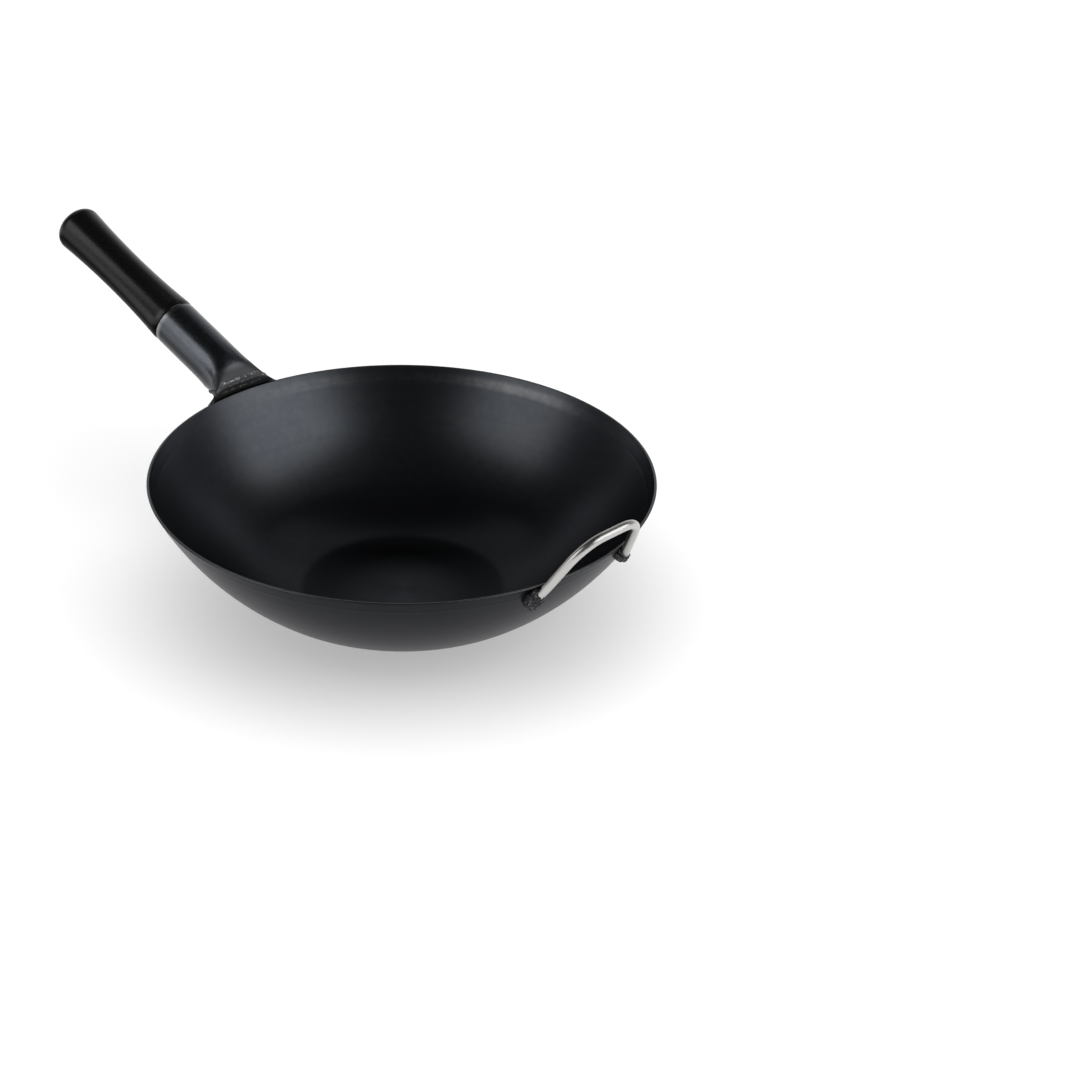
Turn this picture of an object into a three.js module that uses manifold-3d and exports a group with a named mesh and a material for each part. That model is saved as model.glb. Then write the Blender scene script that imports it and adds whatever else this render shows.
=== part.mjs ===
// A flat-bottomed carbon steel wok with a socketed wooden grip and a wire helper loop.
// Millimetres, +Z up. The origin is the centre of the flat base, the handle runs along +X.
import * as THREE from 'three';
import { mergeVertices } from 'three/addons/utils/BufferGeometryUtils.js';
import Module from 'manifold-3d';

const wasm = await Module();
wasm.setup();

// Gap kept between seated pieces
const SEAT_GAP = 0.3;

// Bowl: a spun sheet with a flat base, a bend and a wall arc up to the rim
const RIM_DIAMETER = 340;
const BOWL_DEPTH = 91;
const BASE_DIAMETER = 96;
const BASE_BEND_RADIUS = 108;
const BASE_BEND_ANGLE = 38;
const BOWL_SHEET = 1.6;

// Handle line: where it crosses the rim circle and how steeply it climbs
const HANDLE_LIFT = 3.1;
const HANDLE_RISE_ANGLE = 19.1;

// Socket: a rolled tube whose front is pressed down to the rim, with a bracket under it
const SOCKET_LENGTH = 77;
const SOCKET_DIAMETER = 34.4;
const SOCKET_SHEET = 2;
const PRESS_LENGTH = 32;
const FLARE_WIDTH = 66;
const BRACKET_DROP = 21;
const BRACKET_LENGTH = 21;
const BRACKET_TUCK = 4.5;
const BRACKET_SWEEP = 12;
const SEAM_HEIGHT = 6;
const SEAM_BEAD_WIDTH = 2.4;
const SEAM_BEAD_HEIGHT = 0.9;
const WALL_BEAD_WIDTH = 2.6;

// Shape of the pressed front, as plain shares and powers
const TUBE_SHARE = 0.3;       // share of the press that stays a straight tube underneath
const FLARE_POWER = 2.8;      // how late the sides flare out
const WIDEST_AT_TUBE = 0.5;   // where a ring is widest, from its bottom line to its top line
const WIDEST_AT_RIM = 0.8;
const ROUND = 2;              // a ring of this power is an ellipse, and a higher power is squarer
const RIM_TOP_POWER = 5;
const RIM_BOTTOM_POWER = 2.4;
const WALL_RING = 0.95;       // the ring whose lower edge the wall bead follows

// Grip: turned wood with a tenon inside the socket
const TENON_LENGTH = 44;
const GRIP_LENGTH = 124.5;
const GRIP_COLLAR_LENGTH = 5;
const GRIP_COLLAR_DROP = 1.4;
const GRIP_NECK_DIAMETER = 34.8;
const GRIP_WAIST_DIAMETER = 30.6;
const GRIP_WAIST_AT = 60;
const GRIP_END_DIAMETER = 34.6;
const GRIP_END_ROUND = 7;

// Screws: two round heads under the socket
const SCREW_SHANK_DIAMETER = 3.4;
const SCREW_HEAD_DIAMETER = 6.6;
const SCREW_HEAD_HEIGHT = 2.8;
const SCREW_LENGTH = 15;
const SCREW_POINT = 3;
const REAR_SCREW_FROM_END = 14;
const SCREW_SPACING = 18;
const RECESS_LENGTH = 3.4;
const RECESS_WIDTH = 0.8;
const RECESS_DEPTH = 1.1;

// Helper loop: bent wire, its feet on the outer wall
const LOOP_WIRE = 6;
const LOOP_SPAN = 72;
const LOOP_TOP_SPAN = 50;
const LOOP_HEIGHT = 33;
const LOOP_LEAN_ANGLE = 30;
const LOOP_CORNER_RADIUS = 22;
const LOOP_FOOT_DROP = 11;
const LOOP_FOOT_SPLAY = 5;
const LOOP_WELD_LENGTH = 15;
const LOOP_WELD_WIDTH = 12;
const LOOP_WELD_HEIGHT = 5;

// Smoothness of round forms
const BOWL_SIDES = 80;
const ARC_STEPS = 5;
const SOCKET_SIDES = 36;
const PRESS_STEPS = 9;
const GRIP_SIDES = 32;
const GRIP_STEPS = 5;
const SCREW_SIDES = 12;
const WIRE_SIDES = 12;
const LOOP_STEPS = 36;
const LOOP_CORNER_STEPS = 6;
const BEAD_STEPS = 20;
const DOME_STEPS = 4;
const WELD_SIDES = 16;
const WELD_RINGS = 10;
const SAME_POINT = 1e-4;

const { degToRad, lerp } = THREE.MathUtils;
const { sin, cos, sqrt, abs, sign, acos, PI } = Math;

// Solids

// A closed geometry becomes a solid: shared points are merged and empty triangles are dropped.
function toSolid(geometry) {
  const bare = geometry.clone();
  bare.deleteAttribute('normal');
  bare.deleteAttribute('uv');
  const merged = mergeVertices(bare, SAME_POINT);
  const index = merged.index.array;
  const kept = [];
  for (let i = 0; i < index.length; i += 3) {
    const [a, b, c] = [index[i], index[i + 1], index[i + 2]];
    if (a !== b && b !== c && c !== a) kept.push(a, b, c);
  }
  const points = merged.attributes.position.array;
  if (signedVolume(points, kept) < 0) kept.reverse();
  return new wasm.Manifold(new wasm.Mesh({
    numProp: 3,
    vertProperties: new Float32Array(points),
    triVerts: new Uint32Array(kept),
  }));
}

function signedVolume(points, triangles) {
  const corner = (i) => new THREE.Vector3().fromArray(points, 3 * triangles[i]);
  let sum = 0;
  for (let i = 0; i < triangles.length; i += 3) {
    sum += corner(i).dot(corner(i + 1).cross(corner(i + 2)));
  }
  return sum / 6;
}

function toGeometry(solid) {
  const mesh = solid.getMesh();
  const geometry = new THREE.BufferGeometry();
  geometry.setAttribute('position', new THREE.BufferAttribute(new Float32Array(mesh.vertProperties), 3));
  geometry.setIndex(new THREE.BufferAttribute(new Uint32Array(mesh.triVerts), 1));
  return geometry;
}

// A profile of (radius, height) points turned about Z.
function turned(profile, sides) {
  return new THREE.LatheGeometry(profile, sides).rotateX(PI / 2);
}

// An outline in the X-Z plane carried across Y, from -halfWidth to +halfWidth.
function carriedAcross(outline, halfWidth) {
  const shape = new THREE.Shape(outline);
  const options = { depth: 2 * halfWidth, bevelEnabled: false };
  return new THREE.ExtrudeGeometry(shape, options).rotateX(PI / 2).translate(0, halfWidth, 0);
}

// A round wire or bead along a path.
function tube(path, radius, steps) {
  const section = new THREE.Shape();
  section.absarc(0, 0, radius, 0, 2 * PI);
  const options = { extrudePath: path, steps, curveSegments: WIRE_SIDES / 2 };
  return new THREE.ExtrudeGeometry(section, options);
}

// Rings of equal count joined by a skin, with a fan over each end.
function skinned(rings) {
  const count = rings[0].length;
  const ends = [rings[0], rings[rings.length - 1]];
  const centres = ends.map((ring) => {
    const sum = ring.reduce((total, point) => total.add(point), new THREE.Vector3());
    return sum.divideScalar(count);
  });
  const points = [...rings.flat(), ...centres];
  const firstCentre = points.length - 2;
  const lastCentre = points.length - 1;
  const lastRing = (rings.length - 1) * count;
  const triangles = [];
  for (let j = 0; j < count; j += 1) {
    const next = (j + 1) % count;
    for (let i = 0; i < lastRing; i += count) {
      triangles.push(i + j, i + next, i + count + j);
      triangles.push(i + next, i + count + next, i + count + j);
    }
    triangles.push(firstCentre, next, j);
    triangles.push(lastCentre, lastRing + j, lastRing + next);
  }
  const geometry = new THREE.BufferGeometry().setFromPoints(points);
  geometry.setIndex(triangles);
  return geometry;
}

// Bowl

const rimRadius = RIM_DIAMETER / 2;
const baseRadius = BASE_DIAMETER / 2;
const bendAngle = degToRad(BASE_BEND_ANGLE);
const bendEnd = new THREE.Vector2(
  baseRadius + BASE_BEND_RADIUS * sin(bendAngle),
  BASE_BEND_RADIUS * (1 - cos(bendAngle)),
);
const wallChord = new THREE.Vector2(rimRadius, BOWL_DEPTH).sub(bendEnd);
const wallTurn = wallChord.angle() - bendAngle;
const wallRadius = wallChord.length() / (2 * sin(wallTurn));
const wallCentre = new THREE.Vector2(
  bendEnd.x - wallRadius * sin(bendAngle),
  bendEnd.y + wallRadius * cos(bendAngle),
);

// Slope of the wall arc, moved out by offset, where it reaches a height.
function wallSlope(offset, height) {
  return acos((wallCentre.y - height) / (wallRadius + offset));
}

// Radius of the outer wall, moved out by offset, at a height.
function wallRadiusAt(offset, height) {
  return wallCentre.x + (wallRadius + offset) * sin(wallSlope(offset, height));
}

// The bowl's outer profile from the axis to a height, moved out by offset.
function bowlProfile(offset, height) {
  const profile = [new THREE.Vector2(0, -offset)];
  const arc = (centre, radius, from, to, first) => {
    for (let i = first; i <= ARC_STEPS; i += 1) {
      const slope = lerp(from, to, i / ARC_STEPS);
      profile.push(new THREE.Vector2(centre.x + radius * sin(slope), centre.y - radius * cos(slope)));
    }
  };
  const bendCentre = new THREE.Vector2(baseRadius, BASE_BEND_RADIUS);
  arc(bendCentre, BASE_BEND_RADIUS + offset, 0, bendAngle, 0);
  arc(wallCentre, wallRadius + offset, bendAngle, wallSlope(offset, height), 1);
  return profile;
}

function bowlGeometry() {
  const outer = bowlProfile(0, BOWL_DEPTH);
  const inner = bowlProfile(-BOWL_SHEET, BOWL_DEPTH);
  return turned([...outer, ...inner.reverse()], BOWL_SIDES);
}

// The bowl as a full body grown by offset, used to cut what seats on its outside.
function bowlBody(offset) {
  const profile = bowlProfile(offset, BOWL_DEPTH);
  profile.push(new THREE.Vector2(0, BOWL_DEPTH));
  return toSolid(turned(profile, BOWL_SIDES));
}

const bowlSeat = bowlBody(SEAT_GAP);

// Handle line: (along, above) places a point along the handle's axis and above it

const rise = degToRad(HANDLE_RISE_ANGLE);
const handleStart = new THREE.Vector3(rimRadius, 0, BOWL_DEPTH + HANDLE_LIFT);

function onHandle(along, across, above) {
  return new THREE.Vector3(
    handleStart.x + along * cos(rise) - above * sin(rise),
    across,
    handleStart.z + along * sin(rise) + above * cos(rise),
  );
}

// The handle's (along, above) of a point given by its radius and height on the pan.
function handlePlace(radius, height) {
  const [dx, dz] = [radius - handleStart.x, height - handleStart.z];
  return new THREE.Vector2(dx * cos(rise) + dz * sin(rise), dz * cos(rise) - dx * sin(rise));
}

// Turns a piece made along +Z so that it lies along the handle's axis.
function alongHandle(geometry, along) {
  const place = onHandle(along, 0, 0);
  return geometry.rotateY(PI / 2 - rise).translate(place.x, place.y, place.z);
}

// Socket and rim bracket: one pressed form, grown by growth and parted at the seam

const socketRadius = SOCKET_DIAMETER / 2;

// The pressed front's top line: a quarter ellipse from the tube's top down to the rim.
function topLine(t, growth) {
  const end = handlePlace(rimRadius + 2 * SEAT_GAP - growth, BOWL_DEPTH);
  const angle = t * PI / 2;
  return new THREE.Vector2(
    end.x + (PRESS_LENGTH - end.x) * (1 - sin(angle)),
    end.y + (socketRadius + growth - end.y) * cos(angle),
  );
}

// Its bottom line: straight under the tube, then a curve that lands on the outer wall.
function bottomLine(t, growth) {
  const bottom = -socketRadius - growth;
  const start = new THREE.Vector2(BRACKET_LENGTH, bottom);
  if (t < TUBE_SHARE) {
    return new THREE.Vector2(lerp(PRESS_LENGTH, BRACKET_LENGTH, t / TUBE_SHARE), bottom);
  }
  const landing = BOWL_DEPTH - BRACKET_DROP - growth;
  const inset = Math.max(0, -growth);
  const end = handlePlace(wallRadiusAt(2 * inset - BOWL_SHEET, landing), landing);
  const curve = new THREE.CubicBezierCurve(
    start,
    start.clone().add(new THREE.Vector2(-BRACKET_SWEEP, BRACKET_TUCK)),
    end.clone().add(new THREE.Vector2(BRACKET_SWEEP, BRACKET_TUCK)),
    end,
  );
  return curve.getPoint((t - TUBE_SHARE) / (1 - TUBE_SHARE));
}

// One ring of the pressed form at t, from the round tube (0) to the flared front (1).
// Its sides are a superellipse, squarer on top, and the front bends round with the rim.
function pressedRing(t, growth) {
  const top = topLine(t, growth);
  const bottom = bottomLine(t, growth);
  const middle = bottom.clone().lerp(top, lerp(WIDEST_AT_TUBE, WIDEST_AT_RIM, t * t));
  const halfWidth = lerp(socketRadius, FLARE_WIDTH / 2, t ** FLARE_POWER) + growth;
  const topPower = 2 / lerp(ROUND, RIM_TOP_POWER, t * t);
  const bottomPower = 2 / lerp(ROUND, RIM_BOTTOM_POWER, t);
  const ring = [];
  for (let i = 0; i < SOCKET_SIDES; i += 1) {
    const angle = 2 * PI * i / SOCKET_SIDES;
    const upper = sin(angle) >= 0;
    const power = upper ? topPower : bottomPower;
    const across = halfWidth * sign(cos(angle)) * abs(cos(angle)) ** power;
    const place = middle.clone().lerp(upper ? top : bottom, abs(sin(angle)) ** power);
    const point = onHandle(place.x, across, place.y);
    point.x -= t * t * (rimRadius - sqrt(rimRadius ** 2 - across ** 2));
    ring.push(point);
  }
  return ring;
}

function pressedForm(growth, tubeEnd) {
  const rings = [pressedRing(0, growth).map((point) => {
    const back = onHandle(tubeEnd - PRESS_LENGTH, 0, 0).sub(onHandle(0, 0, 0));
    return point.clone().add(back);
  })];
  for (let i = 0; i <= PRESS_STEPS; i += 1) rings.push(pressedRing(i / PRESS_STEPS, growth));
  return toSolid(skinned(rings));
}

// The side of the seam that faces away from the handle, moved by offset across the seam.
const seamFoot = new THREE.Vector2(BRACKET_LENGTH, -socketRadius);
const seamHead = handlePlace(rimRadius + SEAT_GAP, BOWL_DEPTH + SEAM_HEIGHT);
const seamAlong = seamHead.clone().sub(seamFoot).normalize();
const seamAcross = new THREE.Vector2(seamAlong.y, -seamAlong.x);

function seamSide(offset, depth) {
  const reach = 2 * FLARE_WIDTH;
  const corner = (along, across) => {
    const place = seamFoot.clone().addScaledVector(seamAlong, along).addScaledVector(seamAcross, across);
    const point = onHandle(place.x, 0, place.y);
    return new THREE.Vector2(point.x, point.z);
  };
  const outline = [
    corner(-reach, offset),
    corner(reach, offset),
    corner(reach, offset - depth),
    corner(-reach, offset - depth),
  ];
  return toSolid(carriedAcross(outline, FLARE_WIDTH));
}

const pressedShell = pressedForm(0, SOCKET_LENGTH)
  .subtract(pressedForm(-SOCKET_SHEET, SOCKET_LENGTH + SOCKET_SHEET))
  .subtract(bowlSeat);
const halfSeat = SEAT_GAP / 2;
const bracketSide = seamSide(-halfSeat, 2 * FLARE_WIDTH);
const socketSide = seamSide(2 * FLARE_WIDTH + halfSeat, 2 * FLARE_WIDTH);

function seamBead() {
  const band = seamSide(SEAM_BEAD_WIDTH / 2, SEAM_BEAD_WIDTH);
  const skin = pressedForm(SEAT_GAP + SEAM_BEAD_HEIGHT, SOCKET_LENGTH);
  return skin.intersect(band).subtract(pressedForm(SEAT_GAP, SOCKET_LENGTH)).subtract(bowlSeat);
}

// Bead on the outer wall, round the bracket's lower edge from rim to rim.
function wallBead() {
  const beadRadius = WALL_BEAD_WIDTH / 2;
  const ring = pressedRing(WALL_RING, SEAT_GAP + beadRadius / 2);
  const lower = ring.filter((point, i) => i > SOCKET_SIDES / 2 && i < SOCKET_SIDES);
  const onWall = lower.map((point) => {
    const radius = wallRadiusAt(SEAT_GAP, point.z);
    return new THREE.Vector3(sqrt(radius ** 2 - point.y ** 2), point.y, point.z);
  });
  const bead = tube(new THREE.CatmullRomCurve3(onWall, false, 'centripetal'), beadRadius, BEAD_STEPS);
  return toSolid(bead).subtract(pressedForm(SEAT_GAP, SOCKET_LENGTH)).subtract(bowlSeat);
}

// Screws, made with the head down and the point up, then set into the socket's underside

const rearScrewAt = SOCKET_LENGTH - REAR_SCREW_FROM_END;
const frontScrewAt = rearScrewAt - SCREW_SPACING;
const shankRadius = SCREW_SHANK_DIAMETER / 2;
const headRadius = SCREW_HEAD_DIAMETER / 2;

function screwSolid() {
  const head = [];
  for (let i = 0; i <= DOME_STEPS; i += 1) {
    const angle = i / DOME_STEPS * PI / 2;
    head.push(new THREE.Vector2(headRadius * sin(angle), -SCREW_HEAD_HEIGHT * cos(angle)));
  }
  const profile = [
    ...head,
    new THREE.Vector2(shankRadius, 0),
    new THREE.Vector2(shankRadius, SCREW_LENGTH - SCREW_POINT),
    new THREE.Vector2(0, SCREW_LENGTH),
  ];
  const slot = new THREE.BoxGeometry(RECESS_LENGTH, RECESS_WIDTH, 2 * RECESS_DEPTH);
  slot.translate(0, 0, -SCREW_HEAD_HEIGHT);
  const crossSlot = slot.clone().rotateZ(PI / 2);
  return toSolid(turned(profile, SCREW_SIDES)).subtract(toSolid(slot)).subtract(toSolid(crossSlot));
}

// Sets geometry that points along +Z into the socket's underside at a place along the handle.
function underSocket(geometry, along) {
  const place = onHandle(along, 0, -socketRadius - SEAT_GAP);
  return geometry.rotateY(-rise).translate(place.x, place.y, place.z);
}

// A drilled hole that clears a screw's shank and point.
function screwHole(along) {
  const depth = SCREW_LENGTH + 2 * SEAT_GAP;
  const hole = new THREE.CylinderGeometry(shankRadius + SEAT_GAP, shankRadius + SEAT_GAP, depth, SCREW_SIDES);
  return toSolid(underSocket(hole.rotateX(PI / 2).translate(0, 0, depth / 2 - SEAT_GAP), along));
}

const screwHoles = screwHole(frontScrewAt).add(screwHole(rearScrewAt));

// Grip: collar, neck, waist and rounded end, with the tenon in front

function gripProfile() {
  const tenonRadius = socketRadius - SOCKET_SHEET - SEAT_GAP;
  const neckRadius = GRIP_NECK_DIAMETER / 2;
  const waistRadius = GRIP_WAIST_DIAMETER / 2;
  const endRadius = GRIP_END_DIAMETER / 2;
  const endRoundAt = GRIP_LENGTH - GRIP_END_ROUND;
  const profile = [
    new THREE.Vector2(0, -TENON_LENGTH),
    new THREE.Vector2(tenonRadius, -TENON_LENGTH),
    new THREE.Vector2(tenonRadius, SEAT_GAP),
    new THREE.Vector2(neckRadius - GRIP_COLLAR_DROP, SEAT_GAP),
  ];
  for (let i = 0; i <= GRIP_STEPS; i += 1) {
    const at = lerp(GRIP_COLLAR_LENGTH, GRIP_WAIST_AT, i / GRIP_STEPS);
    const slack = (GRIP_WAIST_AT - at) / (GRIP_WAIST_AT - GRIP_COLLAR_LENGTH);
    profile.push(new THREE.Vector2(waistRadius + (neckRadius - waistRadius) * slack ** 2, at));
  }
  for (let i = 1; i <= GRIP_STEPS; i += 1) {
    const at = lerp(GRIP_WAIST_AT, endRoundAt, i / GRIP_STEPS);
    const swell = (at - GRIP_WAIST_AT) / (endRoundAt - GRIP_WAIST_AT);
    profile.push(new THREE.Vector2(waistRadius + (endRadius - waistRadius) * swell ** 2, at));
  }
  for (let i = 1; i <= GRIP_STEPS; i += 1) {
    const angle = i / GRIP_STEPS * PI / 2;
    const radius = endRadius - GRIP_END_ROUND * (1 - cos(angle));
    profile.push(new THREE.Vector2(radius, endRoundAt + GRIP_END_ROUND * sin(angle)));
  }
  profile.push(new THREE.Vector2(0, GRIP_LENGTH));
  return profile;
}

const gripBlank = toSolid(alongHandle(turned(gripProfile(), GRIP_SIDES), SOCKET_LENGTH));

// Helper loop: splayed legs, round corners and a bar, leaning out from the rim

const wireRadius = LOOP_WIRE / 2;
const legAcross = LOOP_SPAN / 2;
const lean = Math.tan(degToRad(LOOP_LEAN_ANGLE));

// The wire's centre line outside the wall, at a distance across and a height on the wall.
function besideWall(across, height) {
  const radius = wallRadiusAt(wireRadius + SEAT_GAP, height);
  return new THREE.Vector3(-sqrt(radius ** 2 - across ** 2), across, height);
}

function loopFoot() {
  return besideWall(legAcross + LOOP_FOOT_SPLAY, BOWL_DEPTH - LOOP_FOOT_DROP);
}

function loopPath() {
  const legTop = besideWall(legAcross, BOWL_DEPTH);
  const overRim = (across, height) => (
    new THREE.Vector3(legTop.x - height * lean, across, BOWL_DEPTH + height)
  );
  const corner = new THREE.Vector2(LOOP_TOP_SPAN / 2, LOOP_HEIGHT);
  const leg = corner.clone().sub(new THREE.Vector2(legAcross, 0));
  const legAngle = leg.angle();
  const turn = PI - legAngle;
  const centre = new THREE.Vector2(
    corner.x - LOOP_CORNER_RADIUS * Math.tan(turn / 2),
    corner.y - LOOP_CORNER_RADIUS,
  );
  const halfPath = [loopFoot(), legTop];
  for (let i = 0; i <= LOOP_CORNER_STEPS; i += 1) {
    const angle = lerp(legAngle - PI / 2, PI / 2, i / LOOP_CORNER_STEPS);
    const [across, height] = [cos(angle), sin(angle)];
    halfPath.push(overRim(centre.x + LOOP_CORNER_RADIUS * across, centre.y + LOOP_CORNER_RADIUS * height));
  }
  const mirrored = halfPath.map((point) => new THREE.Vector3(point.x, -point.y, point.z)).reverse();
  return new THREE.CatmullRomCurve3([...halfPath, ...mirrored], false, 'centripetal');
}

const loopSolid = toSolid(tube(loopPath(), wireRadius, LOOP_STEPS));

// A weld mound on the outer wall round one foot of the loop: a flattened ball along the leg.
function loopWeld(side) {
  const low = loopFoot();
  const high = besideWall(legAcross, BOWL_DEPTH);
  const along = high.clone().sub(low).normalize();
  const middle = low.clone().addScaledVector(along, LOOP_WELD_LENGTH / 2 - wireRadius);
  const ball = new THREE.SphereGeometry(1, WELD_SIDES, WELD_RINGS);
  ball.scale(LOOP_WELD_HEIGHT, LOOP_WELD_WIDTH / 2, LOOP_WELD_LENGTH / 2);
  const outward = new THREE.Vector3(middle.x, middle.y, 0).normalize();
  const across = new THREE.Vector3().crossVectors(along, outward).normalize();
  const basis = new THREE.Matrix4().makeBasis(new THREE.Vector3().crossVectors(across, along), across, along);
  ball.applyMatrix4(basis.setPosition(middle.addScaledVector(outward, -wireRadius)));
  if (side < 0) ball.scale(1, -1, 1);
  return toSolid(ball);
}

// The wire grown by the seat gap, which cuts its bed in the welds.
const wireBed = toSolid(tube(loopPath(), wireRadius + SEAT_GAP, LOOP_STEPS));

// Finishes

const bluedSteel = new THREE.MeshStandardMaterial({ color: 0x24262a, roughness: 0.45, metalness: 1 });
const socketSteel = new THREE.MeshStandardMaterial({ color: 0x2b2f38, roughness: 0.35, metalness: 1 });
const weldSteel = new THREE.MeshStandardMaterial({ color: 0x3a3a3c, roughness: 0.6, metalness: 1 });
const blackWood = new THREE.MeshStandardMaterial({ color: 0x141414, roughness: 0.55, metalness: 0 });
const screwSteel = new THREE.MeshStandardMaterial({ color: 0x1c1c1e, roughness: 0.4, metalness: 1 });
const stainless = new THREE.MeshStandardMaterial({ color: 0xc9c8c4, roughness: 0.3, metalness: 1 });

// Assembly

function piece(name, geometry, material) {
  const mesh = new THREE.Mesh(geometry, material);
  mesh.name = name;
  return mesh;
}

const socketSolid = pressedShell.intersect(socketSide).subtract(screwHoles);
const bracketSolid = pressedShell.intersect(bracketSide);
const screw = toGeometry(screwSolid());

const wok = new THREE.Group();
wok.add(
  piece('wok_bowl', bowlGeometry(), bluedSteel),
  piece('handle_socket', toGeometry(socketSolid), socketSteel),
  piece('rim_bracket', toGeometry(bracketSolid), socketSteel),
  piece('seam_weld', toGeometry(seamBead()), weldSteel),
  piece('wall_weld', toGeometry(wallBead()), weldSteel),
  piece('wooden_grip', toGeometry(gripBlank.subtract(screwHoles)), blackWood),
  piece('front_screw', underSocket(screw.clone(), frontScrewAt), screwSteel),
  piece('rear_screw', underSocket(screw.clone(), rearScrewAt), screwSteel),
  piece('helper_loop', toGeometry(loopSolid), stainless),
  piece('helper_weld_left', toGeometry(loopWeld(1).subtract(wireBed).subtract(bowlSeat)), weldSteel),
  piece('helper_weld_right', toGeometry(loopWeld(-1).subtract(wireBed).subtract(bowlSeat)), weldSteel),
);

export default wok;
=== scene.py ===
# %% [markdown]
# # A flat-bottomed carbon steel wok
#
# The wok is eleven pieces of metal and wood that never move against each other: a spun bowl,
# a pressed socket with a bracket under it, their weld beads, a turned wooden grip held by two
# screws, and a bent wire loop welded to the far side. The solid model already fixes where each
# piece is and how big it is. This lesson gives every piece its fine surface and its finish.
# Each surface is a formula on a grid of two parameters, worked out with whole numpy arrays.

# %% Load the solid model
import math

import bmesh
import bpy
import numpy as np
from mathutils import Matrix, Vector


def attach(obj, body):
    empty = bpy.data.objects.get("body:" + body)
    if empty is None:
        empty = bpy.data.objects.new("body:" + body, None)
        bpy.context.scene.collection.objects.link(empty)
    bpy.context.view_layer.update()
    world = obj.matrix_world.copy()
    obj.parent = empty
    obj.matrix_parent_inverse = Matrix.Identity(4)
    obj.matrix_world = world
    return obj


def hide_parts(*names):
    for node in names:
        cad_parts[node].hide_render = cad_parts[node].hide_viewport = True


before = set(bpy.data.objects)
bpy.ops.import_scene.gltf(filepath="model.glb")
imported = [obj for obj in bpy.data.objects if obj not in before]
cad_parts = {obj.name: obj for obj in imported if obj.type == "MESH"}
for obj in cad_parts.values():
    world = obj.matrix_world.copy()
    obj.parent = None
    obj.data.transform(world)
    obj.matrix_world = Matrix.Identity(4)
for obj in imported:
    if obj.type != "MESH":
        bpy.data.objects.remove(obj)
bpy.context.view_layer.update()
print("solid pieces:", ", ".join(sorted(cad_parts)))

# %% [markdown]
# ## Small tools
#
# A surface needs faces between its grid points, a piece needs a mesh object that belongs to the
# wok, and a finish needs shader nodes. Short functions do these jobs, so that the cells below hold
# only shapes and finishes. Sizes are in millimetres until the mesh is made. Where a finish changes
# over a piece, a number is stored on each point of the piece for the finish to read.

# %% Grid faces and mesh pieces
MM = 0.001
SHARP_ANGLE = math.radians(50)


def grid_faces(rows, cols, loop_rows=False):
    """Corners i * cols + j of each cell of a grid that closes round its columns, and its rows if asked."""
    i, j = np.meshgrid(np.arange(rows if loop_rows else rows - 1), np.arange(cols), indexing="ij")
    down, right = (i + 1) % rows, (j + 1) % cols
    corners = [i * cols + j, i * cols + right, down * cols + right, down * cols + j]
    return np.stack(corners, axis=-1).reshape(-1, 4).tolist()


def end_fans(rows, cols):
    """Triangles that close a grid's first and last row to one extra point each."""
    j = np.arange(cols)
    k = (j + 1) % cols
    first, last = rows * cols, rows * cols + 1
    top = (rows - 1) * cols
    fans = [
        np.stack([np.full(cols, first), k, j], axis=-1),
        np.stack([np.full(cols, last), top + j, top + k], axis=-1),
    ]
    return np.concatenate(fans).tolist()


def make_piece(name, points, faces, finish, slot, *nodes):
    """A smooth closed mesh from millimetre points. It rides on the wok in place of its solids."""
    mesh = bpy.data.meshes.new(name)
    mesh.from_pydata(points.reshape(-1, 3) * MM, [], faces)
    shell = bmesh.new()
    shell.from_mesh(mesh)
    bmesh.ops.recalc_face_normals(shell, faces=shell.faces)
    shell.to_mesh(mesh)
    shell.free()
    mesh.shade_smooth()
    mesh.set_sharp_from_angle(angle=SHARP_ANGLE)
    mesh.materials.append(finish)
    piece = bpy.data.objects.new(name, mesh)
    bpy.context.scene.collection.objects.link(piece)
    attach(piece, "root")
    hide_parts(*nodes)
    low, high = points.reshape(-1, 3).min(axis=0), points.reshape(-1, 3).max(axis=0)
    print(f"{name}: {len(faces)} faces, {np.round(high - low, 1)} mm")
    return piece


def mark(piece, name, values):
    """A number on each point of a piece, which its finish reads by name."""
    numbers = piece.data.attributes.new(name, "FLOAT", "POINT").data
    numbers.foreach_set("value", values.astype(np.float32))


def facing_down(piece, level=0.36, drop=0.36):
    """0 where a piece faces up, 1 where it faces sideways and down: (level - normal z) / drop, clipped."""
    normals = np.empty(3 * len(piece.data.vertices))
    piece.data.vertex_normals.foreach_get("vector", normals)
    return np.clip((level - normals[2::3]) / drop, 0, 1)


def waves(s, size):
    """A bumpy curve that never repeats: size (sin s + sin(2.3 s + 1.1) + sin(5.7 s + 2.9)) / 2."""
    return size * (np.sin(1.0 * s) + np.sin(2.3 * s + 1.1) + np.sin(5.7 * s + 2.9)) / 2


print("a tube of 3 rings with 4 points each has", len(grid_faces(3, 4)), "faces")
print("three wave values:", np.round(waves(np.array([0.0, 1.0, 2.0]), 1.0), 2))

# %% Shader nodes and colours
RGBA, SMOOTH = {"data_type": "RGBA"}, {"interpolation_type": "SMOOTHSTEP"}
TIMES, LARGER = {"operation": "MULTIPLY"}, {"operation": "MAXIMUM"}


def linear(hex_colour):
    """An sRGB hex colour c as linear light: c / 12.92 when dark, else ((c + 0.055) / 1.055)^2.4."""
    part = np.array([int(hex_colour[i:i + 2], 16) for i in (1, 3, 5)]) / 255
    return (*np.where(part <= 0.04045, part / 12.92, ((part + 0.055) / 1.055) ** 2.4), 1.0)


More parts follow.
